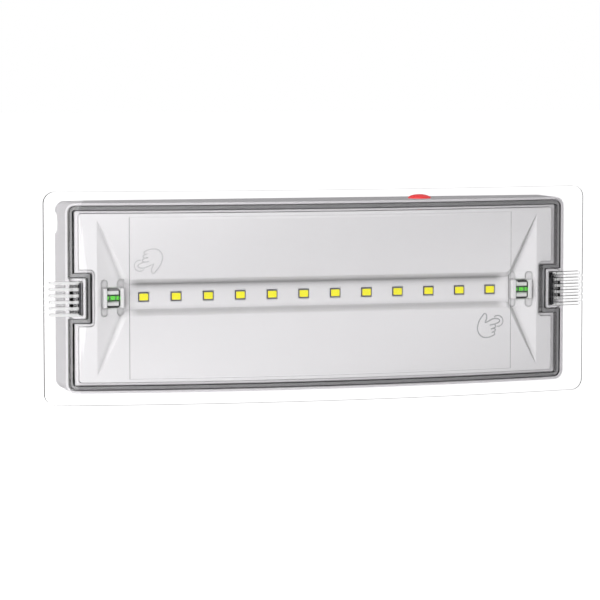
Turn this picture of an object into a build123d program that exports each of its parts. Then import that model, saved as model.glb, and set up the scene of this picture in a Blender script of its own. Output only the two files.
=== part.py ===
from build123d import *
import os
from math import atan2, cos, sqrt, tan

# Wall-mounted LED emergency light. Millimetres. X runs along the long side, Z is up and Y runs into the
# wall. The origin is the middle of the back face, so the light stands out from the wall towards -Y, and
# a depth below is a distance from the wall.

# Housing
body_width = 270.0
body_height = 97.5
body_corner = 5.0
bow_middle_depth = 41.24
bow_end_depth = 27.4
housing_wall = 1.8
back_thickness = 2.2

# Gasket groove behind the rim
rail_drop = 2.0
rim_wall = 1.1
groove_drop = 7.0
groove_floor = 1.8
groove_width = 3.1
groove_end_extra = 1.1
groove_corner = 1.0

# Latch pockets in the middle of both short ends
pocket_length = 9.0
pocket_half_height = 9.2
pocket_wall = 1.0
pocket_depth = 12.2
pocket_floor = 1.2
pocket_corner = 1.0

# Gasket
gasket_side_gap = 0.2
gasket_height = 3.0

# Clear cover
flange_overhang_end = 11.2
flange_overhang_side = 5.95
flange_corner = 6.0
cover_lift = 1.0
cover_sheet = 2.2
tongue_thickness = 2.0
seal_gap = 0.25
pane_end_inset = 32.0
pane_side_inset = 7.25
pane_step = 0.9
grip_count = 6
grip_pitch = 3.27
grip_width = 1.6
grip_height = 0.9
grip_inset = 5.4
grip_outreach = 9.0
flute_depth = 0.9
window_end_gap = 0.8
window_length = 2.2
window_side_gap = 1.0
catch_half_height = 5.5
catch_thickness = 1.5
catch_gap = 0.35
catch_reach = 9.0
catch_nose = 0.7
catch_nose_height = 1.6

# Reflector tray
tray_end_inset = 7.0
tray_side_inset = 5.45
tray_gap = 0.3
tray_corner = 1.5
tray_notch_length = 8.0
tray_notch_margin = 5.5
tray_notch_corner = 2.7
tray_drop = 0.8
tray_wall = 1.4
tray_skirt = 6.0
trough_end_border = 9.0
trough_side_border = 3.2
end_facet_length = 17.5
channel_lip_z = 10.6
channel_floor_z = 8.0
channel_fall = 3.8
channel_corner = 4.0
channel_overshoot = 0.4

# Tray pegs in their posts
peg_end_inset = 45.0
peg_side_inset = 7.3
peg_radius = 2.8
peg_clearance = 0.15
peg_engagement = 5.0
peg_shoulder = 1.0
post_wall = 1.9
post_height = 20.0

# Light-emitting diodes on their strip board
led_count = 12
led_end_margin = 7.615
led_width = 5.3
led_height = 4.6
led_thickness = 1.8
led_cup_end = 0.3
led_cup_side = 0.5
led_window_gap = 0.25
strip_end_margin = 8.1
strip_height = 13.0
strip_thickness = 1.6
hook_length = 6.0
hook_thickness = 1.2
hook_nose = 0.7

# Spirit levels at both ends of the channel
fin_end_gap = 4.0
fin_pitch = 8.9
fin_thickness = 1.8
fin_rise = 1.6
fin_height = 10.0
fin_draft = 0.25
leaf_width = 3.8
leaf_height = 19.0
leaf_recess = 0.8
vial_height = 9.8
vial_thickness = 4.8
vial_front_gap = 0.2
vial_chamfer = 1.1
vial_bore_radius = 1.7
liquid_gap = 0.02
cradle_side_gap = 0.5

# Latch clips
clip_side_gap = 0.3
clip_sheet = 1.1
clip_tongue_top = 3.0
clip_tooth = 0.8

# Test button in the top wall, its switch and its lamp
button_end_inset = 79.0
button_depth = 22.0
button_radius = 6.0
button_clearance = 0.08
button_proud = 0.8
button_dome = 1.3
button_wall = 1.2
button_collar = 1.2
button_collar_thickness = 1.0
button_collar_gap = 0.2
button_skirt = 0.9
button_travel = 1.2
button_stem_radius = 1.3
switch_size = 6.0
switch_height = 3.5
plunger_radius = 1.6
plunger_clearance = 0.05
plunger_stand = 1.6
switch_board_width = 22.0
switch_board_thickness = 1.6
switch_board_front = 30.0
switch_board_drop = 11.15
slot_rib_height = 6.0
slot_rib_thickness = 1.6
board_slot_gap = 0.1

# Battery of three cells end to end in a sleeve
cell_count = 3
cell_radius = 7.1
cell_length = 49.5
cell_nub_radius = 2.7
cell_nub = 1.0
sleeve_thickness = 0.3
sleeve_gap = 0.02
battery_rise = 24.75
battery_lift = 0.6
saddle_pitch = 50.0
saddle_thickness = 2.0
saddle_wall = 2.0
saddle_gap = 0.05
saddle_wrap = 3.0

# Driver board and what is soldered to it
board_left = -64.0
board_width = 104.0
board_battery_gap = 9.5
board_height = 34.0
board_thickness = 1.6
board_standoff = 4.8
board_inset = 4.0
standoff_radius = 3.2
screw_radius = 1.4
screw_head_radius = 2.7
screw_head_height = 1.9
screw_length = 6.0
fuse_place = 14.0
fuse_rise = 18.0
fuse_radius = 2.5
fuse_length = 20.0
fuse_cap = 5.0
choke_place = 23.0
choke_rise = 20.0
choke_ring_radius = 5.0
choke_wire_radius = 2.2
mains_capacitor_place = 33.0
mains_capacitor_rise = 23.0
mains_capacitor_radius = 5.0
mains_capacitor_height = 16.0
transformer_place = 52.0
transformer_rise = 18.0
transformer_width = 22.0
transformer_height = 13.0
bobbin_foot = 3.0
bobbin_length = 24.0
core_length = 20.0
core_leg = 4.0
core_yoke = 2.5
winding_gap = 0.3
winding_length = 23.0
winding_corner = 3.0
output_capacitor_inset = 24.0
output_capacitor_rise = 24.0
output_capacitor_radius = 4.0
output_capacitor_height = 12.0
capacitor_edge = 0.6
chip_inset = 20.0
chip_rise = 12.0
chip_width = 10.0
chip_height = 6.0
chip_thickness = 1.6
strip_socket_inset = 10.0
strip_socket_rise = 12.0
battery_socket_inset = 12.0
battery_socket_rise = 24.0

# Mains terminal block
terminal_board_gap = 5.5
terminal_drop = 33.75
terminal_width = 13.0
terminal_length = 24.0
terminal_height = 13.0
terminal_poles = 3
terminal_pitch = 7.2
terminal_screw_radius = 1.9
terminal_wire_radius = 1.6
terminal_wire_depth = 4.55

# Wall fixing and cable entry
fixing_end_inset = 35.0
fixing_slot_width = 4.5
fixing_slot_length = 9.0
entry_drop = 11.15
entry_radius = 5.4
entry_depth = 6.6
entry_length = 23.0
entry_chamber_radius = 8.0
entry_skin = 1.8
knockout_radius = 6.2
knockout_score = 1.2
knockout_score_width = 0.8

# Sizes that follow
half_width = body_width / 2
half_height = body_height / 2
bow_rise = bow_middle_depth - bow_end_depth
bow_radius = (half_width**2 + bow_rise**2) / (2 * bow_rise)
reach = body_width
inner_half_width = half_width - housing_wall
inner_half_height = half_height - housing_wall
front = bow_middle_depth + 20
bow_axis = bow_radius - bow_middle_depth
flange_width = body_width + 2 * flange_overhang_end
flange_height = body_height + 2 * flange_overhang_side
tray_half_width = half_width - tray_end_inset
tray_half_height = half_height - tray_side_inset
tray_notch_x = tray_half_width - tray_notch_length
tray_notch_half_height = pocket_half_height + tray_notch_margin
trough_apex_x = tray_half_width - trough_end_border
trough_half_height = tray_half_height - trough_side_border
channel_corner_x = trough_apex_x - end_facet_length
fin_outer_x = trough_apex_x - fin_end_gap
fin_inner_x = fin_outer_x - fin_pitch
peg_x = half_width - peg_end_inset
peg_z = tray_half_height - peg_side_inset
led_pitch = 2 * (channel_corner_x - led_end_margin) / (led_count - 1)
strip_length = (led_count - 1) * led_pitch + 2 * strip_end_margin
hook_x = strip_length / 4
button_x = half_width - button_end_inset
switch_board_z = half_height - switch_board_drop
battery_z = battery_rise - half_height
terminal_x = board_left - terminal_board_gap - terminal_width / 2
terminal_z = half_height - terminal_drop
fixing_spacing = body_width - 2 * fixing_end_inset
entry_z = half_height - entry_drop
entry_chamber_x = entry_length - half_width
pocket_inner_x = half_width - pocket_length
pocket_outer_x = pocket_inner_x - pocket_wall
pocket_outer_z = pocket_half_height + pocket_wall
sleeve_radius = cell_radius + sleeve_gap + sleeve_thickness
saddle_half = sleeve_radius + saddle_gap + saddle_wall
battery_depth = back_thickness + battery_lift + sleeve_radius
board_low = battery_z + saddle_half + board_battery_gap
cell_pitch = cell_length + cell_nub
battery_length = cell_count * cell_pitch
board_back = back_thickness + board_standoff
board_face = board_back + board_thickness


def bow_depth(x, rise=0.0):
    """Distance from the wall of the bowed front, or of a surface that lies evenly in front of it."""
    return sqrt((bow_radius + rise) ** 2 - x ** 2) - bow_axis


lip_depth = bow_depth(trough_apex_x, -tray_drop)
channel_floor_depth = lip_depth - channel_fall
fin_top_depth = lip_depth + fin_rise
strip_face = channel_floor_depth - tray_wall


def behind_bow(rise=0.0):
    """All that lies behind the bowed front, moved out by rise."""
    return Pos(0, bow_axis, 0) * Cylinder(bow_radius + rise, reach)


def outward(sketch, start, end):
    """A sketch in X and Z, drawn out from one depth to another."""
    return extrude(Plane.XZ.offset(start) * sketch, amount=end - start)


def notched(half_x, half_z, notch_x, notch_z, corner, notch_corner):
    """A round-cornered rectangle with a notch in the middle of each short side."""
    outline = RectangleRounded(2 * half_x, 2 * half_z, corner)
    deep = 2 * (half_x - notch_x)
    for side in (-1, 1):
        outline -= Pos(side * (notch_x + deep), 0) * RectangleRounded(2 * deep, 2 * notch_z, notch_corner)
    return outline


def tray_outline(grow):
    """The outline of the reflector tray, or one that runs evenly round it."""
    return notched(
        tray_half_width + grow,
        tray_half_height + grow,
        tray_notch_x + grow,
        tray_notch_half_height - grow,
        max(tray_corner + grow, 0.3),
        tray_notch_corner - grow,
    )


def perimeter(inset, end_extra=0.0):
    """The line that runs round inside the rim and round the pockets, inset from the groove's outer side."""
    return notched(
        half_width - rim_wall - inset - end_extra,
        half_height - rim_wall - inset,
        pocket_outer_x - inset - end_extra,
        pocket_outer_z + inset,
        max(body_corner - rim_wall - inset, 0.8),
        groove_corner,
    )


def groove_ring(gap):
    """What fills the groove, but for an even gap at both sides."""
    return perimeter(gap) - perimeter(groove_width - gap, groove_end_extra)


def end_blocks(inner_x, outer_x, half_z, start, end):
    """The same straight block at both short ends."""
    middle = (inner_x + outer_x) / 2
    pair = Sketch()
    for side in (-1, 1):
        pair += Pos(side * middle, 0) * Rectangle(outer_x - inner_x, 2 * half_z)
    return outward(pair, start, end)


def turned(points, x, z, depth):
    """A body of revolution about an axis into the wall, from points of radius and depth."""
    profile = make_face(Polyline(*points, close=True))
    upright = revolve(Plane.XZ * profile, Axis.Z)
    return Pos(x, -depth, z) * Rot(90, 0, 0) * upright


def gasket_rails():
    """The shelf and inner upstand all round behind the rim, and the gasket groove that is cut into them."""
    ring = perimeter(0) - tray_outline(tray_gap)
    rails = outward(ring, back_thickness, front) & behind_bow(-rail_drop)
    groove = outward(groove_ring(0), 0, front) - behind_bow(-groove_drop)
    return rails - behind_bow(-groove_drop - groove_floor), groove


def pocket_walls():
    """Two open boxes against the end walls, for the latch clips."""
    floor_depth = bow_depth(half_width) - pocket_depth
    plate = RectangleRounded(2 * inner_half_width, 2 * pocket_outer_z, body_corner - housing_wall)
    plate -= notched(half_width, half_height, pocket_outer_x, pocket_outer_z, body_corner, pocket_corner)
    outer = outward(plate, floor_depth - pocket_floor, front)
    inner = end_blocks(pocket_inner_x, inner_half_width, pocket_half_height, floor_depth, front)
    return (outer & behind_bow()) - inner


def battery_saddles():
    """Three snap saddles for the battery sleeve."""
    top = battery_depth + saddle_wrap
    saddles = Part()
    for step in (-1, 0, 1):
        plate = Pos(step * saddle_pitch, battery_z) * Rectangle(saddle_thickness, 2 * saddle_half)
        saddles += outward(plate, back_thickness / 2, top)
    bed = Rot(0, 90, 0) * Cylinder(sleeve_radius + saddle_gap, reach)
    return saddles - Pos(0, -battery_depth, battery_z) * bed


def board_posts():
    """Standoffs with screw holes under the corners of the driver board."""
    posts = Part()
    for x in (board_left + board_inset, board_left + board_width - board_inset):
        for z in (board_low + board_inset, board_low + board_height - board_inset):
            post = Circle(standoff_radius) - Circle(screw_radius)
            posts += outward(Pos(x, z) * post, back_thickness / 2, board_back)
    return posts


def peg_posts():
    """Hollow posts that the tray's pegs plug into."""
    bore = peg_radius + peg_clearance
    posts = Part()
    for x in (-peg_x, peg_x):
        for z in (-peg_z, peg_z):
            ring = Circle(bore + post_wall) - Circle(bore)
            posts += outward(Pos(x, z) * ring, back_thickness / 2, post_height)
    return posts


def switch_board_slots():
    """Two pairs of ribs on the back that hold the upright switch board by its edge."""
    gap = switch_board_thickness + 2 * board_slot_gap
    middle_z = switch_board_z - switch_board_thickness / 2
    ribs = Part()
    for x in (button_x - switch_board_width / 3, button_x + switch_board_width / 3):
        rib = Rectangle(switch_board_width / 6, gap + 2 * slot_rib_thickness)
        rib -= Rectangle(switch_board_width / 6, gap)
        ribs += outward(Pos(x, middle_z) * rib, back_thickness / 2, back_thickness + slot_rib_height)
    return ribs


def entry_channel(grow):
    """The half-round cable channel from the left side to the knock-out, or its skin when grown."""
    radius = entry_radius + grow
    straight = entry_depth - entry_radius
    length = half_width + entry_chamber_x
    middle = entry_chamber_x - length / 2
    section = Pos(0, entry_z) * Circle(radius)
    section += Pos(straight / 2, entry_z) * Rectangle(straight, 2 * radius)
    section = Pos(-straight, 0) * section + Pos(-straight / 2, entry_z) * Rectangle(straight, 2 * radius)
    channel = Pos(middle, 0, 0) * extrude(Plane.YZ * section, amount=length / 2, both=True)
    turning = Pos(entry_chamber_x, entry_z) * Circle(entry_chamber_radius + grow)
    chamber = outward(turning, 0, entry_depth + grow)
    return channel + chamber


def base_housing():
    """The moulded tub: walls, back, gasket groove, pockets, posts, saddles, slots and cable channel."""
    block = outward(RectangleRounded(body_width, body_height, body_corner), 0, front) & behind_bow()
    inside = RectangleRounded(2 * inner_half_width, 2 * inner_half_height, body_corner - housing_wall)
    tub = block - outward(inside, back_thickness, front)
    rails, groove = gasket_rails()
    tub = tub + rails + pocket_walls() - groove
    tub += battery_saddles() + board_posts() + peg_posts() + switch_board_slots()
    tub += (entry_channel(entry_skin) & block) - outward(Rectangle(reach, reach), -front, 0)
    tub -= entry_channel(0)
    score = Circle(knockout_radius) - Circle(knockout_radius - knockout_score_width)
    roof = entry_depth + entry_skin
    tub -= outward(Pos(entry_chamber_x, entry_z) * score, roof - knockout_score, roof + 1)
    slot = SlotOverall(fixing_slot_length, fixing_slot_width)
    for side in (-1, 1):
        tub -= outward(Pos(side * fixing_spacing / 2, 0) * slot, -1, back_thickness + 1)
    hole = Cylinder(button_radius + button_clearance, 4 * housing_wall)
    tub -= Pos(button_x, -button_depth, half_height) * hole
    return tub


def perimeter_gasket():
    """The rubber seal in the bottom of the groove, one closed ring round both pockets."""
    ring = outward(groove_ring(gasket_side_gap), 0, front) & behind_bow(gasket_height - groove_drop)
    return ring - behind_bow(-groove_drop)


def grip_ribs():
    """The finger ribs at both ends of the flange, and the flutes between them."""
    low = -(grip_count - 1) / 2 * grip_pitch
    ribs = Sketch()
    flutes = Sketch()
    grip_inner_x = half_width - grip_inset
    grip_outer_x = half_width + grip_outreach
    flute_start = half_width + 1
    flute_end = flange_width / 2 + 1
    for side in (-1, 1):
        for n in range(grip_count):
            middle = side * (grip_inner_x + grip_outer_x) / 2
            rib = SlotOverall(grip_outer_x - grip_inner_x, grip_width)
            ribs += Pos(middle, low + n * grip_pitch) * rib
        for n in range(grip_count - 1):
            middle = side * (flute_start + flute_end) / 2
            flute = Rectangle(flute_end - flute_start, (grip_pitch - grip_width) / 2)
            flutes += Pos(middle, low + (n + 0.5) * grip_pitch) * flute
    top = cover_lift + cover_sheet
    rib_solids = (outward(ribs, 0, front) & behind_bow(top + grip_height)) - behind_bow(top - grip_height)
    flute_solids = outward(flutes, 0, front) - behind_bow(top - flute_depth)
    return rib_solids, flute_solids


def catch_tabs():
    """The hooked tabs that reach down into the pockets, against the end walls."""
    outer_x = inner_half_width - catch_gap
    inner_x = outer_x - catch_thickness
    end_depth = bow_depth(half_width) - catch_reach
    nose_top = end_depth + catch_nose_height
    tabs = end_blocks(inner_x, outer_x, catch_half_height, end_depth, front)
    tabs += end_blocks(inner_x - catch_nose, outer_x, catch_half_height, end_depth, nose_top)
    return tabs & behind_bow(cover_lift + cover_sheet / 2)


def clear_cover():
    """The clear moulding: bowed sheet with its wide flange, tongue, raised pane, ribs and tabs."""
    top = cover_lift + cover_sheet
    outline = RectangleRounded(flange_width, flange_height, flange_corner)
    sheet = (outward(outline, 0, front) & behind_bow(top)) - behind_bow(cover_lift)
    aside = (groove_width - tongue_thickness) / 2
    end_aside = groove_end_extra / 2
    ring = perimeter(aside, end_aside) - perimeter(groove_width - aside, end_aside)
    tongue = outward(ring, 0, front) & behind_bow(cover_lift + cover_sheet / 2)
    tongue -= behind_bow(gasket_height - groove_drop + seal_gap)
    pane_outline = Rectangle(body_width - 2 * pane_end_inset, body_height - 2 * pane_side_inset)
    pane = outward(pane_outline, 0, front) & behind_bow(cover_lift + cover_sheet / 2)
    pane -= behind_bow(cover_lift - pane_step)
    ribs, flutes = grip_ribs()
    window_inner_x = pocket_inner_x + window_end_gap
    window_half = pocket_half_height - window_side_gap
    window = end_blocks(window_inner_x, window_inner_x + window_length, window_half, 0, front)
    cover = sheet + tongue + pane + catch_tabs()
    return cover - window - flutes + ribs


def latch_clip(side):
    """A folded spring clip that fills one pocket: foot, two legs and a toothed thumb tongue."""
    floor_depth = bow_depth(half_width) - pocket_depth
    inner_x = pocket_inner_x + clip_side_gap
    tab_x = inner_half_width - catch_gap - catch_thickness - catch_nose
    outer_x = tab_x - clip_side_gap
    half = pocket_half_height - clip_side_gap
    width = outer_x - inner_x
    middle = (inner_x + outer_x) / 2
    tongue_top = bow_depth(half_width) - clip_tongue_top
    foot = outward(Pos(middle, 0) * Rectangle(width, 2 * half), floor_depth, floor_depth + clip_sheet)
    leg = outward(Pos(inner_x + clip_sheet / 2, 0) * Rectangle(clip_sheet, 2 * half), floor_depth, tongue_top)
    tongue_x = outer_x - clip_sheet / 2
    tongue = outward(Pos(tongue_x, 0) * Rectangle(clip_sheet, 2 * half), floor_depth, tongue_top)
    bridge = outward(Pos(middle, 0) * Rectangle(width, half), tongue_top - clip_sheet, tongue_top)
    clip = foot + leg + tongue + bridge
    for n in range(grip_count):
        z = (n - (grip_count - 1) / 2) * grip_pitch
        tooth = Pos(middle, z) * Rectangle(width, clip_tooth)
        clip += outward(tooth, tongue_top - clip_sheet, tongue_top + clip_tooth)
    return clip if side > 0 else mirror(clip, Plane.YZ)


def channel_outline(shrink):
    """The hourglass outline of the channel and both end facets, shrunk evenly from its lip."""
    rise = trough_half_height - channel_lip_z
    lean = atan2(trough_apex_x - channel_corner_x, rise)
    aside = shrink / cos(lean)
    corner_x = channel_corner_x - shrink * tan(lean) + aside
    corner_z = channel_lip_z - shrink
    apex_z = channel_lip_z + (trough_apex_x - channel_corner_x - aside) / tan(lean)
    outline = Polygon(
        (-trough_apex_x, apex_z),
        (-corner_x, corner_z),
        (corner_x, corner_z),
        (trough_apex_x, apex_z),
        (trough_apex_x, -apex_z),
        (corner_x, -corner_z),
        (-corner_x, -corner_z),
        (-trough_apex_x, -apex_z),
        align=None,
    )
    corners = [v for v in outline.vertices() if abs(v.X) < trough_apex_x - 1]
    return fillet(corners, channel_corner + shrink)


def trough(grow):
    """What is cleared out of the tray in front of its slopes, channel and end facets."""
    border_z = trough_half_height
    stations = 9
    sections = []
    for n in range(stations):
        x = trough_apex_x * (2 * n / (stations - 1) - 1)
        border = bow_depth(x, -tray_drop) - grow
        low = lip_depth - grow
        points = [
            (x, -border, -border_z),
            (x, -low, -channel_lip_z),
            (x, -low, channel_lip_z),
            (x, -border, border_z),
            (x, -front, border_z),
            (x, -front, -border_z),
        ]
        sections.append(make_face(Polyline(*points, close=True)))
    slopes = loft(sections)
    spread = channel_lip_z - channel_floor_z
    floor = channel_floor_depth - grow
    above = front - channel_floor_depth
    low_outline = Plane.XZ.offset(floor) * channel_outline(spread - grow)
    past = channel_overshoot * spread
    high_depth = floor + channel_fall + channel_overshoot * channel_fall
    high_outline = Plane.XZ.offset(high_depth) * channel_outline(-past - grow)
    channel = loft([low_outline, high_outline], ruled=True)
    profile = Polyline(
        (-trough_apex_x, -lip_depth + grow),
        (-channel_corner_x, -floor),
        (channel_corner_x, -floor),
        (trough_apex_x, -lip_depth + grow),
        (trough_apex_x, -floor - above),
        (-trough_apex_x, -floor - above),
        close=True,
    )
    facets = extrude(make_face(profile), amount=reach / 2, both=True)
    return slopes + (channel & facets)


def level_posts():
    """Two pairs of slim upright posts on the end facets, between which the levels are held."""
    foot = channel_floor_depth - tray_wall / 2
    wide, tall = fin_thickness + 2 * fin_draft, fin_height + 2 * fin_draft
    posts = Part()
    for x in (-fin_outer_x, -fin_inner_x, fin_inner_x, fin_outer_x):
        low = Plane.XZ.offset(foot) * (Pos(x, 0) * Rectangle(wide, tall))
        high = Plane.XZ.offset(fin_top_depth) * (Pos(x, 0) * Rectangle(fin_thickness, fin_height))
        posts += loft([low, high], ruled=True)
    return posts


def leaf_recesses():
    """Shallow leaf-shaped recesses in the end facets, out of which the posts rise."""
    leaves = Sketch()
    for x in (-fin_outer_x, -fin_inner_x, fin_inner_x, fin_outer_x):
        leaves += Pos(x, 0) * RectangleRounded(leaf_width, leaf_height, leaf_width / 2 - 0.1)
    return outward(leaves, 0, front) & trough(leaf_recess)


def level_cradles(cleared):
    """Flat-bottomed beds in the end facets for the levels: what is added behind, and what is cut out."""
    floor = fin_top_depth - vial_front_gap - vial_thickness
    half = vial_height / 2 + cradle_side_gap
    inner_x = fin_inner_x + fin_thickness / 2
    outer_x = fin_outer_x - fin_thickness / 2
    bed = end_blocks(inner_x, outer_x, half, floor, front)
    backing = end_blocks(inner_x - tray_wall, outer_x + tray_wall, half + tray_wall, floor - tray_wall, front)
    return backing - cleared, bed


def strip_hooks():
    """Four hooks behind the channel that hold the strip board against its back."""
    hooks = Part()
    back = strip_face - strip_thickness
    edge = strip_height / 2
    for x in (-hook_x, hook_x):
        for side in (-1, 1):
            arm = Pos(x, side * (edge + hook_thickness / 2)) * Rectangle(hook_length, hook_thickness)
            nose = Pos(x, side * (edge + (hook_thickness - hook_nose) / 2))
            nose = nose * Rectangle(hook_length, hook_thickness + hook_nose)
            hooks += outward(arm, back, strip_face + tray_wall / 2)
            hooks += outward(nose, back - hook_thickness, back)
    return hooks


def tray_pegs():
    """Four pegs under the slopes that plug into the posts of the housing."""
    pegs = Part()
    for x in (-peg_x, peg_x):
        for z in (-peg_z, peg_z):
            border = bow_depth(peg_x, -tray_drop)
            share = (peg_z - channel_lip_z) / (trough_half_height - channel_lip_z)
            slope = lip_depth + share * (border - lip_depth)
            root = slope - tray_wall / 2
            pegs += outward(Pos(x, z) * Circle(peg_radius), post_height - peg_engagement, root)
            pegs += outward(Pos(x, z) * Circle(peg_radius + peg_shoulder), post_height, root)
    return pegs


def reflector_tray():
    """The white reflector: a thin bowed shell with its trough, windows, level posts, hooks and pegs."""
    outline = tray_outline(0)
    inner_outline = tray_outline(-tray_wall)
    cleared = trough(0)
    block = (outward(outline, channel_floor_depth - tray_wall, front) & behind_bow(-tray_drop)) - cleared
    core = (outward(inner_outline, 0, front) & behind_bow(-tray_drop - tray_wall)) - trough(tray_wall)
    skirt_zone = outward(outline - inner_outline, 0, front)
    shell = block - core - (skirt_zone & behind_bow(-tray_drop - tray_skirt))
    backing, bed = level_cradles(cleared)
    tray = shell + backing - leaf_recesses() + level_posts() - bed + tray_pegs() + strip_hooks()
    window = Rectangle(led_width + 2 * led_window_gap, led_height + 2 * led_window_gap)
    windows = Sketch()
    for n in range(led_count):
        windows += Pos(led_place(n), 0) * window
    return tray - outward(windows, strip_face - 0.01, front)


def led_place(n):
    """Where a diode sits along the strip, counted from the left."""
    return (n - (led_count - 1) / 2) * led_pitch


def led_board():
    """The strip board behind the channel."""
    strip = RectangleRounded(strip_length, strip_height, 1.0)
    return outward(strip, strip_face - strip_thickness, strip_face)


def led(n):
    """One diode: a low package with a shallow cup round its phosphor."""
    place = Pos(led_place(n), 0)
    top = strip_face + led_thickness
    package = outward(place * Rectangle(led_width, led_height), strip_face, top)
    package = chamfer(package.edges().filter_by(Axis.Y), 0.35)
    cup = place * RectangleRounded(led_width - 2 * led_cup_end, led_height - 2 * led_cup_side, 0.4)
    return package - outward(cup, top - 0.12, top)


def vial_middle():
    """Depth of the middle of a level."""
    return fin_top_depth - vial_front_gap - vial_thickness / 2


def level_vial(side):
    """A clear block with bevelled edges and a bore along it."""
    length = fin_outer_x - fin_inner_x - fin_thickness
    block = Box(length, vial_thickness, vial_height)
    block = chamfer(block.edges(), vial_chamfer)
    block -= Rot(0, 90, 0) * Cylinder(vial_bore_radius, 2 * length)
    return Pos(side * (fin_inner_x + fin_outer_x) / 2, -vial_middle(), 0) * block


def level_liquid(side):
    """The tinted liquid in the bore of a level."""
    length = fin_outer_x - fin_inner_x - fin_thickness
    liquid = Rot(0, 90, 0) * Cylinder(vial_bore_radius - liquid_gap, length)
    return Pos(side * (fin_inner_x + fin_outer_x) / 2, -vial_middle(), 0) * liquid


def button_levels():
    """Heights in Z of the button's collar top and of the foot of its skirt."""
    collar_top = inner_half_height - button_collar_gap
    return collar_top, collar_top - button_collar_thickness - button_skirt


def plunger_top():
    """Height in Z of the switch's plunger, which the button's stem touches."""
    return switch_board_z + switch_height + plunger_stand


def test_button():
    """The red button cap: a domed cup with a collar under the wall and a stem down to the switch."""
    collar_top, foot = button_levels()
    crown = half_height + button_proud
    points = [(0, crown + button_dome), (button_radius - 1.0, crown + 0.45), (button_radius, crown - 0.2)]
    profile = Polyline(
        points[1],
        points[2],
        (button_radius, collar_top),
        (button_radius + button_collar, collar_top),
        (button_radius + button_collar, collar_top - button_collar_thickness),
        (button_radius, collar_top - button_collar_thickness),
        (button_radius, foot),
        (button_radius - button_wall, foot),
        (button_radius - button_wall, crown - button_wall),
        (button_stem_radius, crown - button_wall),
        (button_stem_radius, plunger_top()),
        (0, plunger_top()),
        (0, crown + button_dome),
    )
    dome = ThreePointArc(points[0], (button_radius * 0.45, crown + button_dome * 0.86), points[1])
    cap = revolve(Plane.XZ * make_face(profile + dome), Axis.Z)
    return Pos(button_x, -button_depth, 0) * cap


def test_switch():
    """The push switch under the button."""
    body = Box(switch_size, switch_size, switch_height, align=(Align.CENTER, Align.CENTER, Align.MIN))
    well = Cylinder(
        plunger_radius + plunger_clearance,
        switch_height,
        align=(Align.CENTER, Align.CENTER, Align.MIN),
    )
    body -= Pos(0, 0, switch_height / 2) * well
    return Pos(button_x, -button_depth, switch_board_z) * body


def switch_plunger():
    """The plunger of the push switch."""
    low = switch_height / 2 + button_travel + 0.15
    height = switch_height + plunger_stand - low
    plunger = Cylinder(plunger_radius, height, align=(Align.CENTER, Align.CENTER, Align.MIN))
    return Pos(button_x, -button_depth, switch_board_z + low) * plunger


def switch_board():
    """The small upright board that carries the push switch and the charge lamp."""
    depth = switch_board_front - back_thickness
    board = Box(switch_board_width, depth, switch_board_thickness)
    return Pos(button_x, -(back_thickness + depth / 2), switch_board_z - switch_board_thickness / 2) * board


def charge_lamp():
    """The small diode that shines up into the button."""
    lamp = Box(2.0, 1.25, 0.8, align=(Align.CENTER, Align.CENTER, Align.MIN))
    return Pos(button_x + switch_size / 2 + 1.3, -button_depth, switch_board_z) * lamp


def battery_cell(n):
    """One cell: a can with its terminal nub."""
    can = Cylinder(cell_radius, cell_length, align=(Align.CENTER, Align.CENTER, Align.MIN))
    can += Cylinder(cell_nub_radius, cell_pitch, align=(Align.CENTER, Align.CENTER, Align.MIN))
    x = -battery_length / 2 + n * cell_pitch
    return Pos(x, -battery_depth, battery_z) * Rot(0, 90, 0) * can


def battery_sleeve():
    """The shrink sleeve round the cells."""
    tube = Cylinder(sleeve_radius, battery_length) - Cylinder(cell_radius + sleeve_gap, 2 * battery_length)
    return Pos(0, -battery_depth, battery_z) * Rot(0, 90, 0) * tube


def driver_board():
    """The charger and driver board on its standoffs."""
    centre = Pos(board_left + board_width / 2, board_low + board_height / 2)
    plate = centre * RectangleRounded(board_width, board_height, 1.5)
    for x in (board_left + board_inset, board_left + board_width - board_inset):
        for z in (board_low + board_inset, board_low + board_height - board_inset):
            plate -= Pos(x, z) * Circle(screw_radius + 0.2)
    return outward(plate, board_back, board_face)


def board_screws():
    """The four screws of the driver board, alike."""
    screws = []
    for x in (board_left + board_inset, board_left + board_width - board_inset):
        for z in (board_low + board_inset, board_low + board_height - board_inset):
            points = [
                (0, board_face - screw_length),
                (screw_radius, board_face - screw_length),
                (screw_radius, board_face),
                (screw_head_radius, board_face),
                (screw_head_radius * 0.8, board_face + screw_head_height),
                (0, board_face + screw_head_height),
            ]
            screw = turned(points, x, z, 0)
            slot = Pos(x, z) * Rectangle(2 * screw_head_radius, 0.7)
            screws.append(screw - outward(slot, board_face + 1.1, board_face + 3))
    return Compound(children=screws)


def on_board(x, z):
    """A place on the driver board, from its lower left corner."""
    return Pos(board_left + x, board_low + z)


def transformer():
    """The mains transformer: a ferrite frame round its wound bobbin."""
    place = on_board(transformer_place, transformer_rise)
    foot_top = board_face + bobbin_foot
    top = board_face + transformer_height
    inside = transformer_width - 2 * core_leg
    core = outward(place * Rectangle(transformer_width, core_length), foot_top, top)
    core -= outward(place * Rectangle(inside, 2 * core_length), foot_top + core_yoke, top - core_yoke)
    winding = place * RectangleRounded(inside - 2 * winding_gap, winding_length, winding_corner)
    coil = outward(winding, foot_top, top - core_yoke)
    foot = outward(place * Rectangle(transformer_width - core_leg / 2, bobbin_length), board_face, foot_top)
    return core + coil + foot


def capacitor(place, radius, height):
    """A round can that stands on the driver board."""
    can = outward(place * Circle(radius), board_face, board_face + height)
    return fillet(can.edges().filter_by(GeomType.CIRCLE), capacitor_edge)


def mains_capacitor():
    """The smoothing capacitor of the mains side."""
    place = on_board(mains_capacitor_place, mains_capacitor_rise)
    return capacitor(place, mains_capacitor_radius, mains_capacitor_height)


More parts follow.
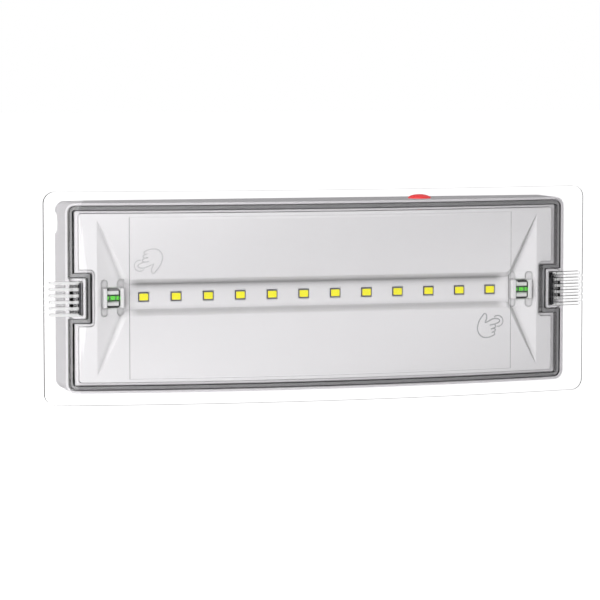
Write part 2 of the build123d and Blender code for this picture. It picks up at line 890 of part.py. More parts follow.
def output_capacitor():
    """The smaller capacitor of the battery side."""
    place = on_board(board_width - output_capacitor_inset, output_capacitor_rise)
    return capacitor(place, output_capacitor_radius, output_capacitor_height)


def fuse():
    """The mains fuse: a glass tube with two end caps, lying on the board."""
    tube = Cylinder(fuse_radius * 0.86, fuse_length)
    for side in (-1, 1):
        tube += Pos(0, 0, side * (fuse_length - fuse_cap) / 2) * Cylinder(fuse_radius, fuse_cap)
    return Pos(board_left + fuse_place, -(board_face + fuse_radius), board_low + fuse_rise) * tube


def filter_choke():
    """The wound ring of the mains filter, standing on the board."""
    ring = Torus(choke_ring_radius, choke_wire_radius)
    depth = board_face + choke_ring_radius + choke_wire_radius
    return Pos(board_left + choke_place, -depth, board_low + choke_rise) * Rot(0, 90, 0) * ring


def control_chip():
    """The controller."""
    body = on_board(board_width - chip_inset, chip_rise) * Rectangle(chip_width, chip_height)
    return outward(body, board_face, board_face + chip_thickness)


def plug_socket(x, z, poles):
    """A socket for a push-on plug, open at the front."""
    pitch, wall, height = 2.5, 0.7, 7.0
    width = poles * pitch + 2 * wall
    shell = outward(on_board(x, z) * Rectangle(width, 5.8), board_face, board_face + height)
    hollow = on_board(x, z) * Rectangle(width - 2 * wall, 4.4)
    shell -= outward(hollow, board_face + 1, board_face + height + 1)
    for n in range(poles):
        pin = on_board(x + (n - (poles - 1) / 2) * pitch, z) * Rectangle(0.7, 0.7)
        shell += outward(pin, board_face + 0.5, board_face + height - 1)
    return shell


def terminal_block():
    """The mains terminal block on the back of the housing, with wire holes and screw wells."""
    centre = Pos(terminal_x, terminal_z)
    low = back_thickness
    high = back_thickness + terminal_height
    block = outward(centre * Rectangle(terminal_width, terminal_length), low, high)
    for n in range(terminal_poles):
        z = terminal_z + (n - (terminal_poles - 1) / 2) * terminal_pitch
        well = outward(Pos(terminal_x, z) * Circle(terminal_screw_radius + 0.2), high - 5, high + 1)
        wire = Rot(0, 90, 0) * Cylinder(terminal_wire_radius, 2 * terminal_width)
        block = block - well - Pos(terminal_x, -(low + terminal_wire_depth), z) * wire
    return block


def terminal_screws():
    """The clamping screws of the terminal block, alike."""
    high = back_thickness + terminal_height
    screws = []
    for n in range(terminal_poles):
        z = terminal_z + (n - (terminal_poles - 1) / 2) * terminal_pitch
        screw = outward(Pos(terminal_x, z) * Circle(terminal_screw_radius), high - 5, high - 1)
        screw -= outward(Pos(terminal_x, z) * Rectangle(2 * terminal_screw_radius, 0.7), high - 2, high)
        screws.append(screw)
    return Compound(children=screws)


nodes = {
    "base_housing": base_housing(),
    "perimeter_gasket": perimeter_gasket(),
    "clear_cover": clear_cover(),
    "latch_clip_left": latch_clip(-1),
    "latch_clip_right": latch_clip(1),
    "reflector_tray": reflector_tray(),
    "led_board": led_board(),
    "level_vial_left": level_vial(-1),
    "level_vial_right": level_vial(1),
    "level_liquid_left": level_liquid(-1),
    "level_liquid_right": level_liquid(1),
    "test_button": test_button(),
    "test_switch": test_switch(),
    "switch_plunger": switch_plunger(),
    "switch_board": switch_board(),
    "charge_lamp": charge_lamp(),
    "battery_sleeve": battery_sleeve(),
    "driver_board": driver_board(),
    "board_screws": board_screws(),
    "transformer": transformer(),
    "mains_capacitor": mains_capacitor(),
    "output_capacitor": output_capacitor(),
    "fuse": fuse(),
    "filter_choke": filter_choke(),
    "control_chip": control_chip(),
    "strip_socket": plug_socket(board_width - strip_socket_inset, strip_socket_rise, 2),
    "battery_socket": plug_socket(board_width - battery_socket_inset, battery_socket_rise, 3),
    "terminal_block": terminal_block(),
    "terminal_screws": terminal_screws(),
}
for n in range(led_count):
    nodes[f"led_{n + 1:02d}"] = led(n)
for n in range(cell_count):
    nodes[f"battery_cell_{n + 1}"] = battery_cell(n)

os.makedirs("parts", exist_ok=True)
for name, shape in nodes.items():
    export_step(shape, f"parts/{name}.step")
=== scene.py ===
from math import cos, pi, radians, sin, sqrt

import bmesh
import bpy
from mathutils import Matrix, Vector


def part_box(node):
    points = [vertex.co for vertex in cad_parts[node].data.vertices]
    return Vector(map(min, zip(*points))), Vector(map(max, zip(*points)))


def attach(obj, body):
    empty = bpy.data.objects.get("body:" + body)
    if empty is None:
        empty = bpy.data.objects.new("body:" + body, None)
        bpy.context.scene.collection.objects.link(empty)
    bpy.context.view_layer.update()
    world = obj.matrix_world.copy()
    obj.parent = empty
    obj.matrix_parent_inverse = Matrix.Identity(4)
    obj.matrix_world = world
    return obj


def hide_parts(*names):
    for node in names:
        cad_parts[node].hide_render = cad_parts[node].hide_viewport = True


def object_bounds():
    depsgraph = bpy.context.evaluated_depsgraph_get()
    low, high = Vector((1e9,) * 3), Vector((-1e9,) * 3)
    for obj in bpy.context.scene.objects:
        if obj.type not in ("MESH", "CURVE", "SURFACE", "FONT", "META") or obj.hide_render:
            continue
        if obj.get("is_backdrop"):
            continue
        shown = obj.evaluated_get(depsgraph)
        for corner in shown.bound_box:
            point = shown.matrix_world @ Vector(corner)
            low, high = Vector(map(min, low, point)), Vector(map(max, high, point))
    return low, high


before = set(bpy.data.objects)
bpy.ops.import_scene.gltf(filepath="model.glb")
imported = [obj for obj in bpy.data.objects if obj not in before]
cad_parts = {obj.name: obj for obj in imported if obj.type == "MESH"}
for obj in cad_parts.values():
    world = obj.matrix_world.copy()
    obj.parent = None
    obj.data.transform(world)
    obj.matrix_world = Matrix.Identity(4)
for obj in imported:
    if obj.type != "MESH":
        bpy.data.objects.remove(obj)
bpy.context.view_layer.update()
mm = 0.001


# Camera
# The viewpoint of the photograph: a metre and a half in front of the light, to its left and a little
# above it, with a long lens. The frame is square.
camera_data = bpy.data.cameras.new("camera")
camera_data.sensor_width = 36.0
camera_data.lens = 176.54
camera = bpy.data.objects.new("camera", camera_data)
camera.location = (-0.42432, -1.50025, 0.1209)
camera.rotation_euler = (radians(90 - 4.644), 0, radians(-15.686))
bpy.context.scene.collection.objects.link(camera)
bpy.context.scene.camera = camera
bpy.context.scene.view_settings.view_transform = "Standard"


# Floor, background and lamps
# A plain white floor well below the light, and a white studio round it. The lamps are large and soft, and
# stand in front, to the left and above. Rays that turn often inside clear plastic meet a dark surround.
floor_drop = 0.45
floor_size = 60.0
white_background = 1.0
edge_background = 0.10
straight_passes = 3
sky_strength = 0.15
ground_strength = 0.15

world = bpy.data.worlds.new("studio")
bpy.context.scene.world = world
world.use_nodes = True
nodes, links = world.node_tree.nodes, world.node_tree.links
nodes.clear()
direction = nodes.new("ShaderNodeTexCoord")
upward = nodes.new("ShaderNodeSeparateXYZ")
links.new(direction.outputs["Generated"], upward.inputs[0])
level = nodes.new("ShaderNodeMapRange")
level.inputs["From Min"].default_value = -1.0
level.inputs["From Max"].default_value = 1.0
level.inputs["To Min"].default_value = ground_strength
level.inputs["To Max"].default_value = sky_strength
links.new(upward.outputs["Z"], level.inputs["Value"])
lighting = nodes.new("ShaderNodeBackground")
lighting.inputs["Color"].default_value = (1, 1, 1, 1)
links.new(level.outputs["Result"], lighting.inputs["Strength"])
path = nodes.new("ShaderNodeLightPath")
many_turns = nodes.new("ShaderNodeMath")
many_turns.operation = "GREATER_THAN"
many_turns.inputs[1].default_value = straight_passes + 0.5
links.new(path.outputs["Ray Depth"], many_turns.inputs[0])
fading = nodes.new("ShaderNodeMapRange")
fading.inputs["To Min"].default_value = white_background
fading.inputs["To Max"].default_value = edge_background
links.new(many_turns.outputs[0], fading.inputs["Value"])
seen = nodes.new("ShaderNodeBackground")
seen.inputs["Color"].default_value = (1, 1, 1, 1)
links.new(fading.outputs["Result"], seen.inputs["Strength"])
camera_or_glossy = nodes.new("ShaderNodeMath")
camera_or_glossy.operation = "MAXIMUM"
links.new(path.outputs["Is Camera Ray"], camera_or_glossy.inputs[0])
links.new(path.outputs["Is Glossy Ray"], camera_or_glossy.inputs[1])
any_seen = nodes.new("ShaderNodeMath")
any_seen.operation = "MAXIMUM"
links.new(camera_or_glossy.outputs[0], any_seen.inputs[0])
links.new(path.outputs["Is Transmission Ray"], any_seen.inputs[1])
shown = nodes.new("ShaderNodeMixShader")
links.new(any_seen.outputs[0], shown.inputs["Fac"])
links.new(lighting.outputs[0], shown.inputs[1])
links.new(seen.outputs[0], shown.inputs[2])
world_out = nodes.new("ShaderNodeOutputWorld")
links.new(shown.outputs[0], world_out.inputs["Surface"])

floor_mesh = bpy.data.meshes.new("floor")
bm = bmesh.new()
bmesh.ops.create_grid(bm, x_segments=1, y_segments=1, size=floor_size / 2)
bmesh.ops.translate(bm, verts=bm.verts, vec=(0, 0, -floor_drop))
bm.to_mesh(floor_mesh)
bm.free()
floor = bpy.data.objects.new("floor", floor_mesh)
bpy.context.scene.collection.objects.link(floor)
floor_white = bpy.data.materials.new("floor_white")
floor_white.use_nodes = True
nodes, links = floor_white.node_tree.nodes, floor_white.node_tree.links
nodes["Principled BSDF"].inputs["Base Color"].default_value = (0.86, 0.86, 0.86, 1)
nodes["Principled BSDF"].inputs["Roughness"].default_value = 0.9
nodes["Principled BSDF"].inputs["Specular IOR Level"].default_value = 0.0
floor_glow = nodes.new("ShaderNodeEmission")
floor_path = nodes.new("ShaderNodeLightPath")
floor_seen = nodes.new("ShaderNodeMath")
floor_seen.operation = "MAXIMUM"
links.new(floor_path.outputs["Is Camera Ray"], floor_seen.inputs[0])
links.new(floor_path.outputs["Is Transmission Ray"], floor_seen.inputs[1])
floor_strength = nodes.new("ShaderNodeMath")
floor_strength.operation = "MULTIPLY"
floor_strength.inputs[1].default_value = 1.0
links.new(floor_seen.outputs[0], floor_strength.inputs[0])
links.new(floor_strength.outputs[0], floor_glow.inputs["Strength"])
floor_sum = nodes.new("ShaderNodeAddShader")
links.new(nodes["Principled BSDF"].outputs[0], floor_sum.inputs[0])
links.new(floor_glow.outputs[0], floor_sum.inputs[1])
links.new(floor_sum.outputs[0], nodes["Material Output"].inputs["Surface"])
floor_mesh.materials.append(floor_white)
floor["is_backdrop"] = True


def lamp(name, place, size, power):
    """A square soft lamp aimed at the middle of the light."""
    data = bpy.data.lights.new(name, "AREA")
    data.size = size
    data.energy = power
    thing = bpy.data.objects.new(name, data)
    thing.location = place
    thing.visible_glossy = False
    aim = Vector((0, -0.02, 0)) - Vector(place)
    thing.rotation_mode = "QUATERNION"
    thing.rotation_quaternion = aim.to_track_quat("-Z", "Y")
    bpy.context.scene.collection.objects.link(thing)
    return thing


lamp("key_lamp", (-1.526, -1.281, 0.174), 1.2, 10.4)
lamp("front_lamp", (-0.996, -1.725, 0.174), 1.2, 16.5)
lamp("top_lamp", (-0.5, -0.866, 1.732), 1.2, 12.5)
back_lamp = lamp("back_lamp", (0.3, 1.7, -0.95), 1.2, 12.0)
back_lamp.visible_camera = False
back_lamp.visible_transmission = False


# Housing
# The deep tub that is screwed to the wall: one moulding in light grey plastic with a fine spark-eroded
# skin, bowed front edge, gasket groove, latch pockets and, at the back left, the cable channel.
def sprayed_noise(tree, scale, detail=3.0):
    """A noise on object coordinates, in metres, so that its grain keeps its real size."""
    place = tree.nodes.new("ShaderNodeTexCoord")
    noise = tree.nodes.new("ShaderNodeTexNoise")
    noise.inputs["Scale"].default_value = scale
    noise.inputs["Detail"].default_value = detail
    tree.links.new(place.outputs["Object"], noise.inputs["Vector"])
    return noise


def moulded(name, colour, roughness, specular=0.35, tone=0.03, grain=2600.0, depth=0.02 * mm):
    """Moulded plastic: a base colour with a faint change of tone, fine grain and uneven gloss."""
    material = bpy.data.materials.new(name)
    material.use_nodes = True
    tree = material.node_tree
    skin = tree.nodes["Principled BSDF"]
    skin.inputs["Specular IOR Level"].default_value = specular
    cloud = sprayed_noise(tree, 28.0)
    tones = tree.nodes.new("ShaderNodeMix")
    tones.data_type = "RGBA"
    tones.inputs["A"].default_value = (*[c * (1 - tone) for c in colour], 1)
    tones.inputs["B"].default_value = (*[min(1.0, c * (1 + tone)) for c in colour], 1)
    tree.links.new(cloud.outputs["Fac"], tones.inputs["Factor"])
    tree.links.new(tones.outputs["Result"], skin.inputs["Base Color"])
    fine = sprayed_noise(tree, grain, 2.0)
    gloss = tree.nodes.new("ShaderNodeMapRange")
    gloss.inputs["To Min"].default_value = roughness - 0.05
    gloss.inputs["To Max"].default_value = roughness + 0.05
    tree.links.new(fine.outputs["Fac"], gloss.inputs["Value"])
    tree.links.new(gloss.outputs["Result"], skin.inputs["Roughness"])
    bump = tree.nodes.new("ShaderNodeBump")
    bump.inputs["Distance"].default_value = depth
    bump.inputs["Strength"].default_value = 0.6
    tree.links.new(fine.outputs["Fac"], bump.inputs["Height"])
    tree.links.new(bump.outputs["Normal"], skin.inputs["Normal"])
    return material


def dress(node, material):
    """Gives a carried-over solid its finish."""
    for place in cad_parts[node].material_slots:
        place.material = material


housing_grey = moulded("housing_grey", (0.74, 0.727, 0.745), 0.7, specular=0.0)
dress("base_housing", housing_grey)


# Gasket
# A soft grey cord of foamed silicone, pressed into the groove behind the rim. It shows through the clear
# tongue of the cover that sits on it.
# Its grey is partly the cord's own and partly painted shade: it is dark enough to stand in for the shade seen through
# the cover's tongue.
gasket_rubber_and_shade = moulded("gasket_rubber_and_shade", (0.30, 0.30, 0.305), 0.75, specular=0.2, tone=0.06, grain=1500.0)
dress("perimeter_gasket", gasket_rubber_and_shade)


# Reflector tray
# The bowed white reflector, one thin satin moulding: two slopes that fall to the channel with the row of
# diodes, end facets with the level posts, and a notch at each end for the latch pocket. Its channel is
# drawn in here to the width that the real one has.
tray_white = moulded("tray_white", (0.86, 0.855, 0.865), 0.38, specular=0.35, tone=0.01, grain=3200.0, depth=0.008 * mm)
crease = tray_white.node_tree.nodes.new("ShaderNodeBevel")
crease.samples = 6
crease.inputs["Radius"].default_value = 0.7 * mm
tray_bump = next(n for n in tray_white.node_tree.nodes if n.bl_idname == "ShaderNodeBump")
tray_white.node_tree.links.new(crease.outputs["Normal"], tray_bump.inputs["Normal"])
# Painted shade: the tray's colour is darkened where an occlusion measure finds creases and hollows, and in bands over
# the steps beside the channel, fading out towards the ends.
crease_shade_probe = tray_white.node_tree.nodes.new("ShaderNodeAmbientOcclusion")
crease_shade_probe.samples = 8
crease_shade_probe.only_local = True
crease_shade_probe.inputs["Distance"].default_value = 3.0 * mm
tray_skin = tray_white.node_tree.nodes["Principled BSDF"]
tray_tone = tray_skin.inputs["Base Color"].links[0].from_socket
crease_shade_paint = tray_white.node_tree.nodes.new("ShaderNodeMapRange")
crease_shade_paint.inputs["From Min"].default_value = 0.55
crease_shade_paint.inputs["From Max"].default_value = 1.0
crease_shade_paint.inputs["To Min"].default_value = 0.6
crease_shade_paint.inputs["To Max"].default_value = 1.0
shaded = tray_white.node_tree.nodes.new("ShaderNodeVectorMath")
shaded.operation = "SCALE"
tray_white.node_tree.links.new(crease_shade_probe.outputs["AO"], crease_shade_paint.inputs["Value"])
tray_white.node_tree.links.new(tray_tone, shaded.inputs[0])
# Painted shade on the steps beside the channel, darkest at their foot: (height in mm, tone), from the lower slope
# upwards.
step_shade_paint = (
    (-10.2, 1.0), (-9.3, 0.9), (-8.2, 0.74), (-7.4, 0.68), (-6.6, 0.85), (-6.0, 1.0),
    (2.0, 1.0), (4.2, 0.9), (5.6, 0.72), (6.5, 0.42), (7.0, 0.46), (7.8, 0.68), (9.0, 0.9), (10.0, 1.0),
)
band_half = 12.0
place = tray_white.node_tree.nodes.new("ShaderNodeTexCoord")
axes = tray_white.node_tree.nodes.new("ShaderNodeSeparateXYZ")
height = tray_white.node_tree.nodes.new("ShaderNodeMapRange")
height.inputs["From Min"].default_value = -band_half * mm
height.inputs["From Max"].default_value = band_half * mm
ramp = tray_white.node_tree.nodes.new("ShaderNodeValToRGB")
stops = ramp.color_ramp.elements
while len(stops) < len(step_shade_paint):
    stops.new(1.0)
for stop, (level, tone) in zip(stops, step_shade_paint):
    stop.position = (level + band_half) / (2 * band_half)
    stop.color = (tone, tone, tone, 1)
end_fade = tray_white.node_tree.nodes.new("ShaderNodeMath")
end_fade.operation = "ABSOLUTE"
along = tray_white.node_tree.nodes.new("ShaderNodeMapRange")
along.inputs["From Min"].default_value = 97.0 * mm
along.inputs["From Max"].default_value = 101.0 * mm
along.inputs["To Min"].default_value = 0.0
along.inputs["To Max"].default_value = 1.0
step_shade_mix = tray_white.node_tree.nodes.new("ShaderNodeMix")
step_shade_mix.inputs["B"].default_value = 1.0
both_shades = tray_white.node_tree.nodes.new("ShaderNodeMath")
both_shades.operation = "MULTIPLY"
for source, target in (
    (place.outputs["Object"], axes.inputs[0]),
    (axes.outputs["Z"], height.inputs["Value"]),
    (height.outputs["Result"], ramp.inputs["Fac"]),
    (axes.outputs["X"], end_fade.inputs[0]),
    (end_fade.outputs[0], along.inputs["Value"]),
    (along.outputs["Result"], step_shade_mix.inputs["Factor"]),
    (ramp.outputs["Color"], step_shade_mix.inputs["A"]),
    (step_shade_mix.outputs["Result"], both_shades.inputs[0]),
    (crease_shade_paint.outputs["Result"], both_shades.inputs[1]),
    (both_shades.outputs[0], shaded.inputs["Scale"]),
):
    tray_white.node_tree.links.new(source, target)
tray_white.node_tree.links.new(shaded.outputs[0], tray_skin.inputs["Base Color"])

reflector_mesh = bpy.data.meshes.new("reflector")
floor_half = 8.0 * mm
floor_pull = 1.5 * mm
lip_half = 10.6 * mm
lip_pull = 1.3 * mm
border_half = 40.1 * mm
corner_from = 97 * mm
corner_push = 2.0 * mm
floor_crease = 101.5 * mm
posts_from = 103 * mm
apex_at = 119 * mm
skin_from = 25.8 * mm
bm = bmesh.new()
tray_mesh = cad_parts["reflector_tray"].data
bm.from_mesh(tray_mesh)
smooth_skin = bm.loops.layers.float_vector.new("smooth_skin")
for face in bm.faces:
    for loop in face.loops:
        loop[smooth_skin] = tray_mesh.corner_normals[loop.index].vector
bmesh.ops.remove_doubles(bm, verts=bm.verts, dist=0.001 * mm)
for vert in bm.verts:
    x, y, z = vert.co
    beside_posts = abs(x) > posts_from and abs(z) < lip_half - 0.4 * mm
    if -y < skin_from or beside_posts or abs(x) > apex_at + 0.2 * mm:
        continue
    up = min(1.0, max(0.0, (abs(z) - lip_half) / (border_half - lip_half)))
    if abs(z) > 7 * mm:
        near_lip = min(1.0, max(0.0, (abs(z) - floor_half) / (lip_half - floor_half)))
        pull = (floor_pull + near_lip * (lip_pull - floor_pull)) * (1 - up)
        vert.co.z = z - pull if z > 0 else z + pull
    if abs(x) > corner_from and (abs(z) > 7 * mm or abs(abs(x) - floor_crease) < 0.6 * mm):
        push = corner_push * (1 - up)
        vert.co.x = x + push if x > 0 else x - push
for face in bm.faces:
    face.smooth = True
bm.to_mesh(reflector_mesh)
bm.free()
reflector_mesh.normals_split_custom_set([c.vector.copy() for c in reflector_mesh.attributes["smooth_skin"].data])
reflector_mesh.attributes.remove(reflector_mesh.attributes["smooth_skin"])
reflector_mesh.materials.append(tray_white)
reflector = bpy.data.objects.new("reflector", reflector_mesh)
bpy.context.scene.collection.objects.link(reflector)
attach(reflector, "base")
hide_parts("reflector_tray")


# Press-here marks
# Two plain pictograms of a pointing hand with a ring round the fingertip, moulded as thin raised lines on
# the slopes beside the right and left seams. The left one is the right one turned by half a turn.
bow_radius = 665.3 * mm
bow_front = 41.24 * mm - 0.8 * mm
lip_depth = sqrt((bow_radius - 0.8 * mm) ** 2 - (119 * mm) ** 2) - (bow_radius - 41.24 * mm)
lip_height = 9.3 * mm
border_height = 40.1 * mm
mark_place = Vector((96.9 * mm, -16.5 * mm))
mark_line = 0.34 * mm
mark_rise = 0.10 * mm
ring_radius = 2.85 * mm
ring_open = (135, -100)


def slope_depth(x, z):
    """Distance from the wall of the reflector's slopes."""
    border = sqrt((bow_radius - 0.8 * mm) ** 2 - x ** 2) - (bow_radius - 41.24 * mm)
    share = (abs(z) - lip_height) / (border_height - lip_height)
    return lip_depth + share * (border - lip_depth)


# Each stroke is a chain of points in millimetres from the fingertip, with V at a corner and A on a curve.
hand_strokes = [
    [(-4.8, -2.15, "V"), (-0.3, -1.05, "A"), (1.0, 0.1, "A"), (-0.2, 1.2, "A"), (-7.3, -0.85, "V"),
     (-6.2, 2.7, "A"), (-7.1, 4.1, "A"), (-8.2, 3.3, "A"), (-11.6, -2.9, "A"), (-11.2, -6.0, "A"),
     (-9.2, -8.1, "A"), (-7.2, -8.55, "A"), (-3.3, -7.7, "A"), (-2.1, -6.8, "A"), (-2.5, -5.7, "V"),
     (-1.6, -4.8, "A"), (-2.2, -3.75, "V"), (-1.3, -2.8, "A"), (-2.1, -1.5, "V")],
    [(-4.2, -4.2, "V"), (-2.2, -3.75, "V")],
    [(-3.8, -6.0, "V"), (-2.5, -5.7, "V")],
]


def pictogram(name, turn, finish):
    """The hand and its ring as thin beads laid on a slope."""
    curve = bpy.data.curves.new(name, "CURVE")
    curve.dimensions = "2D"
    curve.resolution_u = 8
    curve.fill_mode = "NONE"
    for stroke in hand_strokes:
        spline = curve.splines.new("BEZIER")
        spline.bezier_points.add(len(stroke) - 1)
        for point, (x, y, kind) in zip(spline.bezier_points, stroke):
            point.co = (x * mm, y * mm, 0)
            point.handle_left_type = point.handle_right_type = "VECTOR" if kind == "V" else "AUTO"
    ring = curve.splines.new("POLY")
    ring_steps = 36
    ring.points.add(ring_steps)
    for n, point in enumerate(ring.points):
        angle = radians(ring_open[0] + (ring_open[1] - ring_open[0]) * n / ring_steps)
        point.co = (ring_radius * cos(angle), ring_radius * sin(angle), 0, 1)
    curve.dimensions = "3D"
    curve.bevel_depth = mark_line
    curve.bevel_resolution = 2
    curve.use_fill_caps = True
    drawn = bpy.data.objects.new(name, curve)
    mesh = bpy.data.meshes.new_from_object(drawn)
    bpy.data.objects.remove(drawn)
    bm = bmesh.new()
    bm.from_mesh(mesh)
    bmesh.ops.remove_doubles(bm, verts=bm.verts, dist=0.01 * mm)
    for vert in bm.verts:
        x = turn * (mark_place.x + vert.co.x)
        z = turn * (mark_place.y + vert.co.y)
        rise = vert.co.z / mark_line * mark_rise
        vert.co = (x, -slope_depth(x, z) - rise, z)
    bmesh.ops.recalc_face_normals(bm, faces=bm.faces)
    bm.to_mesh(mesh)
    bm.free()
    mesh.materials.clear()
    mesh.materials.append(finish)
    piece = bpy.data.objects.new(name, mesh)
    bpy.context.scene.collection.objects.link(piece)
    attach(piece, "base")


# Painted shade and light: the raised lines are coloured grey for the shade along them, and the left mark is painted
# paler than the right for the light that falls from the left.
mark_shaded = moulded("mark_shaded", (0.42, 0.42, 0.43), 0.5, specular=0.3, tone=0.02)
mark_lit = moulded("mark_lit", (0.64, 0.64, 0.65), 0.5, specular=0.3, tone=0.02)
pictogram("press_mark_right", 1, mark_shaded)
pictogram("press_mark_left", -1, mark_lit)


# Diodes and their strip board
# Twelve square surface-mount diodes on a narrow white board behind the channel. Each has a dark frame
# round a flat lens of yellow phosphor, cast into the cup of the package.
strip_white = moulded("strip_white", (0.88, 0.88, 0.86), 0.35, specular=0.5, tone=0.01)
dress("led_board", strip_white)
# The frame's near-black is partly the package's own and partly painted shade, standing in for the shade in the gap
# round each diode.
diode_frame_and_gap_shade = moulded("diode_frame_and_gap_shade", (0.10, 0.10, 0.16), 0.4, specular=0.5, tone=0.05)
phosphor = moulded("phosphor", (0.96, 0.90, 0.012), 0.5, specular=0.2, tone=0.02, grain=9000.0, depth=0.01 * mm)
# Painted glow: the lenses shine faintly by an emission of their own.
phosphor.node_tree.nodes["Principled BSDF"].inputs["Emission Color"].default_value = (1.0, 0.93, 0.02, 1)
phosphor.node_tree.nodes["Principled BSDF"].inputs["Emission Strength"].default_value = 0.12
cup_margin_x = 0.35 * mm
cup_margin_z = 0.55 * mm
lens_thickness = 0.09 * mm
for n in range(12):
    low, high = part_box(f"led_{n + 1:02d}")
    dress(f"led_{n + 1:02d}", diode_frame_and_gap_shade)
    width = high.x - low.x - 2 * cup_margin_x
    height = high.z - low.z - 2 * cup_margin_z
    mesh = bpy.data.meshes.new(f"led_lens_{n + 1:02d}")
    bm = bmesh.new()
    bmesh.ops.create_cube(bm, size=1.0)
    bmesh.ops.scale(bm, vec=(width, lens_thickness, height), verts=bm.verts)
    upright = [e for e in bm.edges if abs(e.verts[0].co.y - e.verts[1].co.y) > lens_thickness / 2]
    bmesh.ops.bevel(bm, geom=upright, offset=0.35 * mm, segments=4, profile=0.5, affect="EDGES", material=-1)
    middle = Vector(((low.x + high.x) / 2, low.y + 0.115 * mm - lens_thickness / 2, (low.z + high.z) / 2))
    bmesh.ops.translate(bm, verts=bm.verts, vec=middle)
    bm.to_mesh(mesh)
    bm.free()
    mesh.materials.append(phosphor)
    lens = bpy.data.objects.new(f"led_lens_{n + 1:02d}", mesh)
    bpy.context.scene.collection.objects.link(lens)
    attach(lens, "base")


# Spirit levels
# Two short levels for mounting the light straight. Each is a clear acrylic block with bevelled edges, held
# between two posts of the tray, with green liquid in its bore, a bubble and two dark ring marks.
def clear_plastic(name, tint, ior, roughness, edge_tone, edge_start, edge_full):
    """Clear plastic that lets the lamps through, and that darkens where its walls are seen edge on."""
    material = bpy.data.materials.new(name)
    material.use_nodes = True
    tree = material.node_tree
    body = tree.nodes["Principled BSDF"]
    body.inputs["Transmission Weight"].default_value = 1.0
    body.inputs["IOR"].default_value = ior
    body.inputs["Roughness"].default_value = roughness
    body.inputs["Base Color"].default_value = (*tint, 1)
    ripple = sprayed_noise(tree, 60.0, 1.0)
    bump = tree.nodes.new("ShaderNodeBump")
    bump.inputs["Distance"].default_value = 0.004 * mm
    bump.inputs["Strength"].default_value = 0.3
    tree.links.new(ripple.outputs["Fac"], bump.inputs["Height"])
    tree.links.new(bump.outputs["Normal"], body.inputs["Normal"])
    open_way = tree.nodes.new("ShaderNodeBsdfTransparent")
    open_way.inputs["Color"].default_value = (*[c ** 0.5 for c in tint], 1)
    rays = tree.nodes.new("ShaderNodeLightPath")
    lit = tree.nodes.new("ShaderNodeMath")
    lit.operation = "MAXIMUM"
    tree.links.new(rays.outputs["Is Shadow Ray"], lit.inputs[0])
    tree.links.new(rays.outputs["Is Diffuse Ray"], lit.inputs[1])
    turned = tree.nodes.new("ShaderNodeLayerWeight")
    turned.inputs["Blend"].default_value = 0.5
    edge_on = tree.nodes.new("ShaderNodeMapRange")
    edge_on.interpolation_type = "SMOOTHSTEP"
    edge_on.inputs["From Min"].default_value = edge_start
    edge_on.inputs["From Max"].default_value = edge_full
    tree.links.new(turned.outputs["Facing"], edge_on.inputs["Value"])
    edge = tree.nodes.new("ShaderNodeBsdfTransparent")
    edge.inputs["Color"].default_value = (edge_tone, edge_tone, edge_tone, 1)
    looked_at = tree.nodes.new("ShaderNodeMixShader")
    tree.links.new(edge_on.outputs["Result"], looked_at.inputs["Fac"])
    tree.links.new(body.outputs[0], looked_at.inputs[1])
    tree.links.new(edge.outputs[0], looked_at.inputs[2])
    passing = tree.nodes.new("ShaderNodeMixShader")
    tree.links.new(lit.outputs[0], passing.inputs["Fac"])
    tree.links.new(looked_at.outputs[0], passing.inputs[1])
    tree.links.new(open_way.outputs[0], passing.inputs[2])
    tree.links.new(passing.outputs[0], tree.nodes["Material Output"].inputs["Surface"])
    return material


vial_clear = clear_plastic("vial_clear", (0.97, 0.975, 0.97), 1.12, 0.0, 0.06, 0.17, 0.3)
tree = vial_clear.node_tree
place = tree.nodes.new("ShaderNodeTexCoord")
height = tree.nodes.new("ShaderNodeSeparateXYZ")
tree.links.new(place.outputs["Object"], height.inputs[0])
from_bore = tree.nodes.new("ShaderNodeMath")
from_bore.operation = "ABSOLUTE"
tree.links.new(height.outputs["Z"], from_bore.inputs[0])
cloudy = tree.nodes.new("ShaderNodeMapRange")
cloudy.inputs["From Min"].default_value = 1.9 * mm
cloudy.inputs["From Max"].default_value = 2.2 * mm
cloudy.inputs["To Max"].default_value = 0.75
tree.links.new(from_bore.outputs[0], cloudy.inputs["Value"])
milk = tree.nodes.new("ShaderNodeBsdfDiffuse")
milk.inputs["Color"].default_value = (0.90, 0.90, 0.90, 1)
clear_part = next(n for n in tree.nodes if n.bl_idname == "ShaderNodeMixShader" and n.inputs[1].links[0].from_node.name == "Principled BSDF")
body_part = tree.nodes.new("ShaderNodeMixShader")
tree.links.new(cloudy.outputs["Result"], body_part.inputs["Fac"])
tree.links.new(tree.nodes["Principled BSDF"].outputs[0], body_part.inputs[1])
tree.links.new(milk.outputs[0], body_part.inputs[2])
tree.links.new(body_part.outputs[0], clear_part.inputs[1])
level_green = moulded("level_green", (0.11, 0.68, 0.04), 0.12, specular=0.4, tone=0.02, depth=0.001 * mm)
green_skin = level_green.node_tree.nodes["Principled BSDF"]
# Painted glow: the green liquid shines faintly by an emission of its own.
green_skin.inputs["Emission Color"].default_value = (0.12, 0.75, 0.05, 1)
green_skin.inputs["Emission Strength"].default_value = 0.22
ring_black = moulded("ring_black", (0.04, 0.02, 0.06), 0.5)
ring_width = 0.55 * mm
ring_wall = 0.15 * mm
